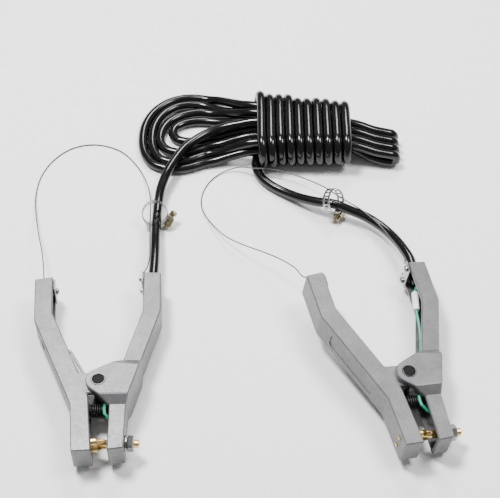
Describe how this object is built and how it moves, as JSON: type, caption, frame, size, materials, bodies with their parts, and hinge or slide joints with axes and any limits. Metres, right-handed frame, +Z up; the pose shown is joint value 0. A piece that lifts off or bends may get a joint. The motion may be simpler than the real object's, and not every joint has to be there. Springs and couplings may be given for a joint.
{
  "type": "twin grounding clamp lead",
  "caption": "Static grounding lead: sprung two-arm cast clamps with brass contact points, on one black cable bound in a hank, with wire tethers.",
  "frame": {"origin": "the floor under the middle of the two clamps' bounding box (the loose cable, its hank, the tether wires and the hose clamps on them not counted)", "axes": "+Z up from the floor; +Y from the clamps towards the hank of cable, so the jaws point towards -Y; +X from the left clamp to the right clamp"},
  "size_m": [0.3953, 0.4483, 0.0483],
  "materials": {
    "cast_aluminium": "fine sand-cast skin, satin",
    "steel": "plated, bright",
    "black_steel": "black oxide, satin",
    "brass": "turned, bright",
    "black_sheath": "smooth, semi-gloss",
    "white_nylon": "matte",
    "green_sheath": "satin"
  },
  "bodies": {
    "cable_side": {"left_cable_arm": "cast_aluminium", "left_pivot_tube": "steel", "left_pivot_pin": "black_steel", "left_jaw_spring": "black_steel", "left_contact_stud": "brass", "left_stud_washer": "steel", "left_stud_nut": "steel", "left_ring_terminal": "brass", "left_earth_core": "green_sheath", "left_sleeve_upper": "white_nylon", "left_sleeve_lower": "white_nylon", "left_core_tail_upper": "green_sheath", "left_core_tail_lower": "green_sheath", "left_cord_plate": "steel", "left_cord_plate_screw_front": "steel", "left_cord_plate_screw_rear": "steel", "left_tether_wire": "steel", "left_hose_band": "steel", "left_hose_housing": "steel", "right_cable_arm": "cast_aluminium", "right_pivot_tube": "steel", "right_pivot_pin": "black_steel", "right_jaw_spring": "black_steel", "right_contact_stud": "brass", "right_stud_washer": "steel", "right_stud_nut": "steel", "right_ring_terminal": "brass", "right_earth_core": "green_sheath", "right_sleeve_upper": "white_nylon", "right_sleeve_lower": "white_nylon", "right_core_tail_upper": "green_sheath", "right_core_tail_lower": "green_sheath", "right_cord_plate": "steel", "right_cord_plate_screw_front": "steel", "right_cord_plate_screw_rear": "steel", "right_tether_wire": "steel", "right_hose_band": "steel", "right_hose_housing": "steel", "lead_left": "black_sheath", "lead_right": "black_sheath", "hank_loops": "black_sheath", "hank_wraps": "black_sheath", "hank_tail": "black_sheath"},
    "left_tether_side": {"left_tether_arm": "cast_aluminium", "left_contact_point_front": "brass", "left_contact_point_rear": "brass", "left_tether_plate": "steel", "left_tether_plate_screw": "steel"},
    "left_worm_screw": {"left_hose_screw": "steel"},
    "right_tether_side": {"right_tether_arm": "cast_aluminium", "right_contact_point_front": "brass", "right_contact_point_rear": "brass", "right_tether_plate": "steel", "right_tether_plate_screw": "steel"},
    "right_worm_screw": {"right_hose_screw": "steel"}
  },
  "joints": [
    {"name": "left_jaw_hinge", "type": "hinge", "parent": "cable_side", "child": "left_tether_side", "pos_m": [-0.1217, -0.0334, 0.02], "axis": [0, 0, -1], "range_deg": [0, 30], "stiffness_Nm_per_rad": 3, "springref_deg": -40.11, "deforming": ["left_jaw_spring", "left_tether_wire"]},
    {"name": "right_jaw_hinge", "type": "hinge", "parent": "cable_side", "child": "right_tether_side", "pos_m": [0.1431, -0.0271, 0.0232], "axis": [-0.1302, 0.0069, -0.9915], "range_deg": [0, 30], "stiffness_Nm_per_rad": 3, "springref_deg": -40.11, "deforming": ["right_jaw_spring", "right_tether_wire"]},
    {"name": "left_worm_turn", "type": "hinge", "parent": "cable_side", "child": "left_worm_screw", "pos_m": [-0.07037, 0.1724, 0.00725], "axis": [0.4964, 0.5128, 0.7004], "continuous": true},
    {"name": "right_worm_turn", "type": "hinge", "parent": "cable_side", "child": "right_worm_screw", "pos_m": [0.09786, 0.18476, 0.00515], "axis": [-0.4546, -0.8888, -0.058], "continuous": true}
  ]
}
